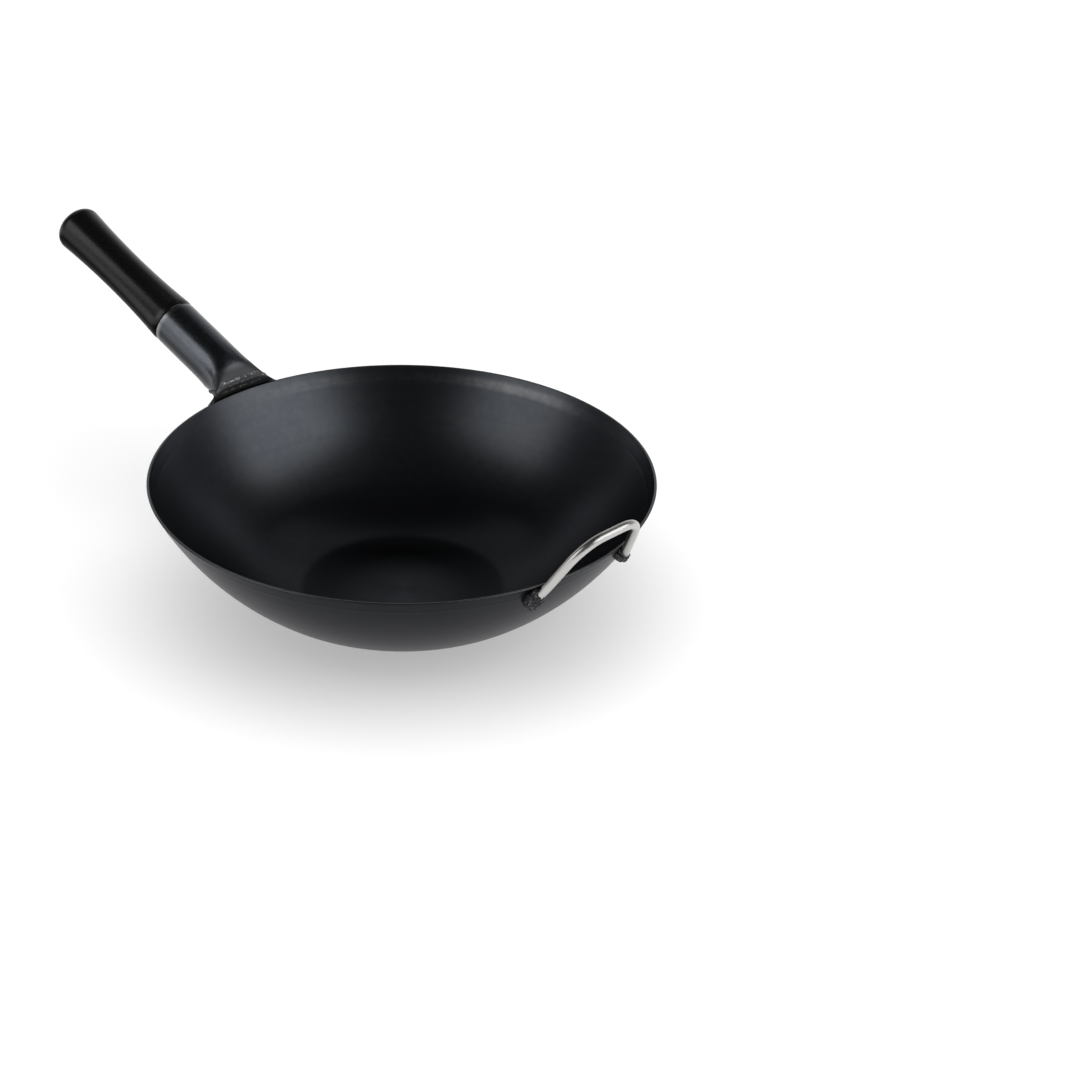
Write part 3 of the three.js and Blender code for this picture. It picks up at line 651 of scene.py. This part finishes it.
print(f"wall bead {run[-1]:.0f} mm long and up to {2 * wall_half.max():.1f} mm wide")

# %% [markdown]
# ## The welds' finish: dark weld metal
#
# Fresh weld metal is bright, but these were blued with the rest, so most of the bead is dark and
# rough and only the high spots are rubbed back to bare steel. Two noises do it: a coarse one
# for lumps and a finer one whose peaks become bright specks. On the tongue the seam was filed
# smooth, so there it matches the sheet round it.

# %% Dark weld metal
LUMP_MM, BRIGHT_MM = 1.5, 0.8

weld_metal, tree, shader = new_finish("dark_weld_metal", Metallic=1.0)
place = add_node(tree, "ShaderNodeTexCoord").outputs["Object"]
lumps = add_node(tree, "ShaderNodeTexNoise", Vector=place, Scale=1 / (LUMP_MM * MM), Detail=4.0)
peaks = add_node(tree, "ShaderNodeTexNoise", Vector=place, Scale=1 / (BRIGHT_MM * MM), Detail=2.0)
bright = add_node(tree, "ShaderNodeMapRange", Value=peaks, From_Min=0.57, From_Max=0.72)
filed = add_node(tree, "ShaderNodeAttribute", {"attribute_name": "filed"})
blued = add_node(
    tree, "ShaderNodeMix", RGBA, _0=filed.outputs["Fac"], _6=linear("#393a3c"), _7=linear("#515254"),
)
colour = add_node(tree, "ShaderNodeMix", RGBA, _0=bright, _6=blued, _7=linear("#a2a2a0"))
rough = add_node(
    tree, "ShaderNodeMapRange", Value=lumps, From_Min=0.3, From_Max=0.7, To_Min=0.35, To_Max=0.65,
)
raised = add_node(tree, "ShaderNodeMapRange", Value=filed.outputs["Fac"], To_Min=0.8, To_Max=0.15)
bump = add_node(tree, "ShaderNodeBump", Height=lumps, Strength=raised, Distance=0.6 * MM)
connect(tree, shader, Base_Color=colour, Roughness=rough, Normal=bump)

seam_weld = make_piece("seam_weld_bead", seam_points, seam_faces, weld_metal, "weld_steel", "seam_weld")
mark(seam_weld, "filed", np.repeat(on_tongue, BEAD_AROUND))
make_piece("wall_weld_bead", wall_points, wall_faces, weld_metal, "weld_steel", "wall_weld")

# %% [markdown]
# ## The wooden grip
#
# The grip is turned on a lathe: a tenon that hides in the socket, a short collar, a neck that
# thins to a waist, and a swelling end with a rounded rim. One section turned about the handle
# line gives all of it.

# %% Grip section
TENON_LENGTH, TENON_RADIUS = 44.0, SOCKET_RADIUS - SOCKET_SHEET - SEAT_GAP
GRIP_LENGTH, COLLAR_LENGTH, COLLAR_DROP = 124.5, 5.0, 1.4
NECK_RADIUS, WAIST_RADIUS, WAIST_AT, END_RADIUS, END_ROUND = 17.4, 15.3, 60.0, 17.3, 7.0
GRIP_SIDES, CURVE_POINTS, ROUND_POINTS = 128, 30, 14

end_at = GRIP_LENGTH - END_ROUND
quarter = np.linspace(0, np.pi / 2, ROUND_POINTS)
collar_at = SEAT_GAP + (COLLAR_LENGTH - SEAT_GAP) * (1 - np.cos(quarter))
collar_radius = NECK_RADIUS - COLLAR_DROP * (1 - np.sin(quarter))
neck_at = np.linspace(COLLAR_LENGTH, WAIST_AT, CURVE_POINTS)[1:]
neck_share = (WAIST_AT - neck_at) / (WAIST_AT - COLLAR_LENGTH)
neck_radius = mixed(WAIST_RADIUS, NECK_RADIUS, neck_share**2)
swell_at = np.linspace(WAIST_AT, end_at, CURVE_POINTS)[1:]
swell_share = (swell_at - WAIST_AT) / (end_at - WAIST_AT)
swell_radius = mixed(WAIST_RADIUS, END_RADIUS, swell_share**2)
round_at = end_at + END_ROUND * np.sin(quarter[1:])
round_radius = END_RADIUS - END_ROUND * (1 - np.cos(quarter[1:]))
curve_radius = np.concatenate([collar_radius, neck_radius, swell_radius, round_radius])
curve_at = np.concatenate([collar_at, neck_at, swell_at, round_at])
grip_section = np.concatenate([
    [[0, -TENON_LENGTH], [TENON_RADIUS, -TENON_LENGTH], [TENON_RADIUS, SEAT_GAP]],
    np.stack([curve_radius, curve_at], axis=-1),
    [[0, GRIP_LENGTH]],
])
grip_points, grip_faces = turned(grip_section, GRIP_SIDES)
grip_points = on_handle(SOCKET_LENGTH + grip_points[:, 2], grip_points[:, 1], grip_points[:, 0])
print(f"grip is {2 * WAIST_RADIUS:.0f} mm at the waist and ends {np.round(grip_points[-1], 1)} mm out")

# %% [markdown]
# ## The grip's finish: black lacquered wood
#
# The wood is stained black and lacquered thinly, so the pores still show as faint lines along the
# grip. It is not a metal: what we see is a very dark body under a soft clear sheen. The sheen is
# taken off the lower side as painted shade. The grain is noise stretched along the
# handle line, used for the roughness and for shallow pores.

# %% Black lacquered wood
# Real pores are about 0.1 mm wide. They are drawn wider so that they show.
PORE_MM, PORE_LONG_MM, BAND_MM = 0.9, 22.0, 9.0
LACQUER_SHEEN, UNDERSIDE_SHADE_SHEEN = 0.56, 0.02

black_wood, tree, shader = new_finish("black_lacquered_wood", IOR=1.45)
place = add_node(tree, "ShaderNodeTexCoord").outputs["Object"]
along = add_node(
    tree, "ShaderNodeMapping", Vector=place, Rotation=(0, HANDLE_RISE, 0),
    Scale=(1 / (PORE_LONG_MM * MM), 1 / (PORE_MM * MM), 1 / (PORE_MM * MM)),
)
pores = add_node(tree, "ShaderNodeTexNoise", Vector=along, Scale=1.0, Detail=3.0, Roughness=0.6)
bands = add_node(tree, "ShaderNodeTexNoise", Vector=along, Scale=PORE_MM / BAND_MM, Detail=2.0)
colour = add_node(tree, "ShaderNodeMix", RGBA, _0=bands, _6=linear("#030303"), _7=linear("#080807"))
painted_shade_under = add_node(tree, "ShaderNodeAttribute", {"attribute_name": "painted_shade_under"})
# Less sheen on the lower side is painted shade.
sheen = add_node(
    tree, "ShaderNodeMapRange", Value=painted_shade_under.outputs["Fac"], To_Min=LACQUER_SHEEN, To_Max=UNDERSIDE_SHADE_SHEEN,
)
rough = add_node(
    tree, "ShaderNodeMapRange", Value=pores, From_Min=0.3, From_Max=0.7, To_Min=0.23, To_Max=0.33,
)
bump = add_node(tree, "ShaderNodeBump", Height=pores, Strength=0.12, Distance=0.3 * MM)
connect(tree, shader, Base_Color=colour, Roughness=rough, Specular_IOR_Level=sheen, Normal=bump)

grip = make_piece("wooden_grip_turning", grip_points, grip_faces, black_wood, "black_wood", "wooden_grip")
# The grip's lower side takes painted shade.
mark(grip, "painted_shade_under", facing_down(grip))

# %% [markdown]
# ## Two screws
#
# Round-headed screws come up through the socket's underside into the tenon. Each is a turned
# section, dome, shank and point, and the driver's cross is pressed into the dome by lowering the
# points that lie near either arm.

# %% Screw shape
SHANK_RADIUS, HEAD_RADIUS, HEAD_HEIGHT = 1.7, 3.3, 2.8
SCREW_LENGTH, SCREW_POINT = 15.0, 3.0
CROSS_HALF_LENGTH, CROSS_HALF_WIDTH, CROSS_DEPTH, CROSS_EASE = 1.7, 0.4, 1.1, 0.3
SCREW_FROM_END, SCREW_SPACING = 14.0, 18.0
DOME_POINTS, SCREW_SIDES = 28, 72

dome = np.linspace(0, np.pi / 2, DOME_POINTS)
screw_section = np.concatenate([
    np.stack([HEAD_RADIUS * np.sin(dome), -HEAD_HEIGHT * np.cos(dome)], axis=-1),
    [[SHANK_RADIUS, 0], [SHANK_RADIUS, SCREW_LENGTH - SCREW_POINT], [0, SCREW_LENGTH]],
])
screw_points, screw_faces = turned(screw_section, SCREW_SIDES)
x, y, z = screw_points.T
arms = [
    np.maximum(np.abs(a) / CROSS_HALF_LENGTH, np.abs(b) / CROSS_HALF_WIDTH) for a, b in ((x, y), (y, x))
]
sunk = np.clip((1 + CROSS_EASE / 2 - np.minimum(*arms)) / CROSS_EASE, 0, 1) * (z < 0)
screw_points[:, 2] += CROSS_DEPTH * sunk
print(f"{np.count_nonzero(sunk)} points lie in the cross")

# %% [markdown]
# ## The screws' finish: black oxide steel
#
# Black oxide is a thin conversion layer, darker than bluing and slightly oily, so the domes are
# nearly black with a small clear highlight. A fine grain keeps the highlight from being perfect.

# %% Black oxide steel
OXIDE_GRAIN_MM = 0.6

black_oxide, tree, shader = new_finish("black_oxide_steel", Metallic=1.0)
place = add_node(tree, "ShaderNodeTexCoord").outputs["Object"]
grain = add_node(tree, "ShaderNodeTexNoise", Vector=place, Scale=1 / (OXIDE_GRAIN_MM * MM), Detail=2.0)
colour = add_node(tree, "ShaderNodeMix", RGBA, _0=grain, _6=linear("#2e2f31"), _7=linear("#3c3d3f"))
rough = add_node(
    tree, "ShaderNodeMapRange", Value=grain, From_Min=0.3, From_Max=0.7, To_Min=0.25, To_Max=0.4,
)
connect(tree, shader, Base_Color=colour, Roughness=rough)

rear_at = SOCKET_LENGTH - SCREW_FROM_END
screw_above = screw_points[:, 2] - SOCKET_RADIUS - SEAT_GAP / 2
for name, at in (("front_screw", rear_at - SCREW_SPACING), ("rear_screw", rear_at)):
    placed = on_handle(at + screw_points[:, 0], screw_points[:, 1], screw_above)
    make_piece(name + "_turning", placed, screw_faces, black_oxide, "black_screw_steel", name)

# %% [markdown]
# ## The helper loop
#
# A bent wire on the far side takes the second hand. Its splayed feet lie on the outer wall, the
# legs lean out past the rim and turn through two round corners into a bar. We lay out
# straights and arcs as points half a millimetre apart, round the joins with a short running mean,
# and carry a circle along the line.

# %% Loop path
WIRE_RADIUS, LOOP_SPAN, LOOP_TOP_SPAN = 3.0, 72.0, 50.0
LOOP_HEIGHT, LOOP_LEAN, LOOP_CORNER = 33.0, math.tan(math.radians(30)), 22.0
LOOP_FOOT, LOOP_SPLAY = 11.0, 5.0
PATH_STEP_MM, PATH_EASE, CORNER_POINTS, WIRE_AROUND = 0.5, 13, 40, 32

leg_angle = math.atan2(LOOP_HEIGHT, (LOOP_TOP_SPAN - LOOP_SPAN) / 2)
corner_x = LOOP_TOP_SPAN / 2 - LOOP_CORNER * math.tan((math.pi - leg_angle) / 2)
corner_y = LOOP_HEIGHT - LOOP_CORNER
sweep = np.linspace(leg_angle - np.pi / 2, np.pi / 2, CORNER_POINTS)
half = np.concatenate([
    [[LOOP_SPAN / 2 + LOOP_SPLAY, -LOOP_FOOT], [LOOP_SPAN / 2, 0]],
    np.stack([corner_x + LOOP_CORNER * np.cos(sweep), corner_y + LOOP_CORNER * np.sin(sweep)], axis=-1),
])
front_view = np.concatenate([half, half[::-1] * np.array([-1, 1])])
distance = np.concatenate([[0], np.cumsum(np.hypot(*np.diff(front_view, axis=0).T))])
even = np.arange(0, distance[-1], PATH_STEP_MM)
across = np.interp(even, distance, front_view[:, 0])
height = np.interp(even, distance, front_view[:, 1])
on_wall = wall_radius_at(WIRE_RADIUS + SEAT_GAP, BOWL_DEPTH + np.minimum(height, 0))
rim_x = math.sqrt(wall_radius_at(WIRE_RADIUS + SEAT_GAP, BOWL_DEPTH) ** 2 - (LOOP_SPAN / 2) ** 2)
x = np.where(height < 0, -np.sqrt(on_wall**2 - across**2), -rim_x - height * LOOP_LEAN)
loop_path = np.stack([x, across, BOWL_DEPTH + height], axis=-1)
spare = PATH_EASE // 2
padded = np.pad(loop_path, ((spare, spare), (0, 0)), mode="reflect", reflect_type="odd")
window = np.lib.stride_tricks.sliding_window_view(padded, PATH_EASE, axis=0)
loop_path = window.mean(axis=-1)

loop_run = unit(np.gradient(loop_path, axis=0))
loop_up = np.broadcast_to(unit(np.array([1.0, 0.0, LOOP_LEAN])), loop_run.shape)
loop_side = unit(np.cross(loop_run, loop_up))
loop_up = np.cross(loop_side, loop_run)
wire = np.full(len(loop_path), WIRE_RADIUS)
loop_points, loop_faces = carried(loop_path, loop_side, loop_up, wire, wire, WIRE_AROUND, False)
print(f"the wire is {distance[-1]:.0f} mm long")

# %% [markdown]
# ## The loop's finish: satin stainless wire
#
# The loop is bright where everything else is dark. Drawn stainless wire is polished but
# not a mirror: drawing leaves hair-fine lines along it, which here are noise stretched across
# the loop, because the wire mostly runs that way.

# %% Satin stainless wire
# Real drawing lines are hair-fine. They are drawn wider so that they show.
LINE_MM, LINE_LONG_MM = 0.6, 25.0

stainless, tree, shader = new_finish("satin_stainless_wire", Metallic=1.0)
place = add_node(tree, "ShaderNodeTexCoord").outputs["Object"]
along = add_node(
    tree, "ShaderNodeMapping", Vector=place,
    Scale=(1 / (LINE_MM * MM), 1 / (LINE_LONG_MM * MM), 1 / (LINE_MM * MM)),
)
lines = add_node(tree, "ShaderNodeTexNoise", Vector=along, Scale=1.0, Detail=3.0)
colour = add_node(tree, "ShaderNodeMix", RGBA, _0=lines, _6=linear("#b5b4b2"), _7=linear("#c5c4c1"))
rough = add_node(
    tree, "ShaderNodeMapRange", Value=lines, From_Min=0.3, From_Max=0.7, To_Min=0.28, To_Max=0.36,
)
bump = add_node(tree, "ShaderNodeBump", Height=lines, Strength=0.08, Distance=0.1 * MM)
connect(tree, shader, Base_Color=colour, Roughness=rough, Normal=bump)

make_piece("helper_loop_wire", loop_points, loop_faces, stainless, "stainless_wire", "helper_loop")

# %% [markdown]
# ## Welds at the loop's feet
#
# Each foot disappears into a lumpy mound of weld on the outer wall. A mound is a polar grid laid
# on the wall along the foot: the height stays nearly level over the wire and falls to a ragged
# edge, and waves in both directions make the lumps. Its underside follows the wall, so the
# mound is closed.

# %% Weld mounds
MOUND_RINGS, MOUND_SIDES, MOUND_LUMP = 44, 120, 0.05
foot_turn = math.atan2(LOOP_SPLAY, LOOP_FOOT)


def weld_mound(side, long, wide, height, middle):
    """Height H (1 - q^4)^0.6 with waves, where q runs from 0 in the middle to 1 at a ragged edge.

    The sizes are half the length and half the width, the height H, and how far up the foot it sits.
    """
    mound_height = BOWL_DEPTH - LOOP_FOOT + middle * math.cos(foot_turn)
    mound_across = LOOP_SPAN / 2 + LOOP_SPLAY - middle * math.sin(foot_turn)
    mound_bearing = math.asin(mound_across / wall_radius_at(WIRE_RADIUS, mound_height))
    mound_slope = math.acos((WALL_CENTRE[1] - mound_height) / WALL_RADIUS)
    q = np.linspace(0, 1, MOUND_RINGS)[1:, None]
    a = np.arange(MOUND_SIDES) * 2 * np.pi / MOUND_SIDES
    ragged = 1 + 0.10 * np.sin(3 * a + 0.7 * side) + 0.07 * np.sin(7 * a + 2) + 0.04 * np.sin(13 * a)
    along, over = q * ragged * long * np.sin(a), q * ragged * wide * np.cos(a)
    lumps = np.sin(2.1 * along + 1.3 * over) + np.sin(2.7 * over - 0.9 * along + side)
    lumps = lumps + np.sin(4.3 * along + 0.5) * np.sin(3.9 * over + 1.2)
    lift = height * (1 - q**4) ** 0.6 * (1 + MOUND_LUMP * lumps)

    def on_outer_wall(along, over, lift):
        """Points of the wall patch, turned to lie along the foot and lifted off the wall."""
        up_wall = along * math.cos(foot_turn) + over * math.sin(foot_turn)
        sideways = over * math.cos(foot_turn) - along * math.sin(foot_turn)
        turn = side * (mound_bearing + sideways / RIM_RADIUS)
        slope = mound_slope + up_wall / WALL_RADIUS
        reach = WALL_RADIUS + WALL_GAP + lift
        r = WALL_CENTRE[0] + reach * np.sin(slope)
        return np.stack([-r * np.cos(turn), r * np.sin(turn), WALL_CENTRE[1] - reach * np.cos(slope)], -1)

    top = on_outer_wall(along, over, lift)
    base = on_outer_wall(along, over, 0 * lift)
    centre = on_outer_wall(np.zeros(2), np.zeros(2), np.array([height, 0.0]))
    points = np.concatenate([top.reshape(-1, 3), base[-2::-1].reshape(-1, 3), centre])
    rows = 2 * len(top) - 1
    return points, grid_faces(rows, MOUND_SIDES) + end_fans(rows, MOUND_SIDES)


for name, side, long, wide, height, middle in (
    ("helper_weld_left", 1, 9.4, 5.6, 6.9, 2.0),
    ("helper_weld_right", -1, 6.6, 4.9, 6.5, 3.4),
):
    mound_points, mound_faces = weld_mound(side, long, wide, height, middle)
    make_piece(name + "_mound", mound_points, mound_faces, weld_metal, "weld_steel", name)

# %% [markdown]
# ## Floor, light and camera
#
# A dark metal shows its surroundings more than its own colour, so the studio decides how it
# reads. Two large softboxes stand to the left and right of the camera, and each draws a
# broad highlight on the opposite inner wall, with a dark band between them. A wide dim panel
# behind the pan shows in the flat base, and two small ones above it show low on the wall, to the
# left and right of the base. A wide sun overhead lights the pale floor evenly. It is kept out of
# reflections, as a gridded lamp would be, so the bowl's floor stays dark. The surroundings are
# white up to the horizon, where they carry on the floor past its edge, and dim above. Part of the
# floor's white is its own for the camera and for reflections, so its shadow stays soft.

# %% Floor and surroundings
FLOOR_RADIUS, FLOOR_SIDES, FLOOR_DROP, FLOOR_OWN_WHITE = 1700.0, 96, 0.2, 0.4

floor_ring = np.arange(FLOOR_SIDES) * 2 * np.pi / FLOOR_SIDES
floor_points = np.stack([
    FLOOR_RADIUS * np.cos(floor_ring), FLOOR_RADIUS * np.sin(floor_ring), np.full(FLOOR_SIDES, -FLOOR_DROP),
], axis=-1)
floor_mesh = bpy.data.meshes.new("studio_floor")
floor_mesh.from_pydata(floor_points * MM, [], [list(range(FLOOR_SIDES))])
floor_paper, tree, shader = new_finish(
    "white_floor_paper", Base_Color=linear("#fbfbfb"), Roughness=0.9, Specular_IOR_Level=0.0,
)
ray = add_node(tree, "ShaderNodeLightPath").outputs
seen = add_node(tree, "ShaderNodeMath", LARGER, _0=ray["Is Camera Ray"], _1=ray["Is Glossy Ray"])
seen = add_node(tree, "ShaderNodeMath", LARGER, _0=seen, _1=ray["Is Transmission Ray"])
share = add_node(tree, "ShaderNodeMath", TIMES, _0=seen, _1=FLOOR_OWN_WHITE)
white = add_node(tree, "ShaderNodeEmission", Color=(1, 1, 1, 1), Strength=1.0)
paper = add_node(tree, "ShaderNodeMixShader", _0=share, _1=shader, _2=white)
connect(tree, tree.nodes["Material Output"], Surface=paper)
floor_mesh.materials.append(floor_paper)
floor = bpy.data.objects.new("studio_floor", floor_mesh)
bpy.context.scene.collection.objects.link(floor)

world = bpy.data.worlds.new("studio_surroundings")
bpy.context.scene.world = world
world.use_nodes = True
tree = world.node_tree
direction = add_node(tree, "ShaderNodeTexCoord").outputs["Generated"]
rise = add_node(tree, "ShaderNodeSeparateXYZ", Vector=direction)
sky = add_node(tree, "ShaderNodeValToRGB", Fac=rise.outputs["Z"])
steps = sky.color_ramp.elements
steps[0].position, steps[0].color = 0.02, linear("#ffffff")
steps[1].position, steps[1].color = 0.75, linear("#2a2a2b")
steps.new(0.14).color = linear("#767678")
steps.new(0.45).color = linear("#3e3e40")
connect(tree, tree.nodes["Background"], Color=sky.outputs["Color"])
print("floor", 2 * FLOOR_RADIUS * MM, "m across")

# %% Lamps
VIEW_AZIMUTH = 227.16
OVERHEAD_WATTS, OVERHEAD_SPREAD = 2.5, 80


def compass(azimuth, elevation):
    """Unit vector (sin a cos e, -cos a cos e, sin e) from the object, for azimuth a and elevation e."""
    a, e = math.radians(azimuth), math.radians(elevation)
    return Vector((math.sin(a) * math.cos(e), -math.cos(a) * math.cos(e), math.sin(e)))


# Each flat lamp: its azimuth from the camera's, elevation and distance, width and height in metres,
# radiance, which times pi and the area makes its watts, and tilt about the line to the bowl.
for name, azimuth, elevation, distance, width, height, radiance, tilt in (
    ("softbox_left", -65, 29.5, 1.7, 1.3, 1.28, 1.5, 12),
    ("softbox_right", 71, 31.5, 1.7, 1.65, 1.25, 2.1, -15),
    ("backdrop_panel", 180, 20, 2.4, 5.0, 1.3, 0.48, 0),
    ("side_panel_left", -152, 46, 2.0, 1.0, 0.65, 0.22, 0),
    ("side_panel_right", 152, 46, 2.0, 1.0, 0.65, 0.24, 0),
):
    lamp = bpy.data.lights.new(name, "AREA")
    lamp.shape = "RECTANGLE"
    lamp.size, lamp.size_y = width, height
    lamp.energy = radiance * math.pi * width * height
    box = bpy.data.objects.new(name, lamp)
    way = compass(VIEW_AZIMUTH + azimuth, elevation)
    box.location = Vector((0, 0, BOWL_DEPTH * MM)) + way * distance
    facing = way.to_track_quat("Z", "Y").to_matrix()
    box.rotation_euler = (facing @ Matrix.Rotation(math.radians(tilt), 3, "Z")).to_euler()
    box.visible_camera = False
    bpy.context.scene.collection.objects.link(box)
    print(f"{name}: {lamp.energy:.1f} W")

overhead = bpy.data.objects.new("overhead_sun", bpy.data.lights.new("overhead_sun", "SUN"))
overhead.data.energy, overhead.data.angle = OVERHEAD_WATTS, math.radians(OVERHEAD_SPREAD)
overhead.visible_glossy = False
bpy.context.scene.collection.objects.link(overhead)
print(f"overhead: {OVERHEAD_WATTS} W per square metre")

# %% Camera
VIEW_ELEVATION, VIEW_DISTANCE, VIEW_ROLL = 27.93, 1.5708, math.radians(1.99)
AIM = Vector((-87.9, -42.2, 60.0)) * MM
LENS_MM, SENSOR_MM = 78.14, 36.0

camera = bpy.data.objects.new("camera", bpy.data.cameras.new("camera"))
camera.data.lens, camera.data.sensor_width = LENS_MM, SENSOR_MM
camera.location = Vector((0, 0, BOWL_DEPTH * MM)) + compass(VIEW_AZIMUTH, VIEW_ELEVATION) * VIEW_DISTANCE
look = (camera.location - AIM).to_track_quat("Z", "Y").to_matrix()
camera.rotation_euler = (look @ Matrix.Rotation(VIEW_ROLL, 3, "Z")).to_euler()
bpy.context.scene.collection.objects.link(camera)
bpy.context.scene.camera = camera
bpy.context.scene.view_settings.view_transform = "Standard"
print("camera at", [round(c, 3) for c in camera.location])
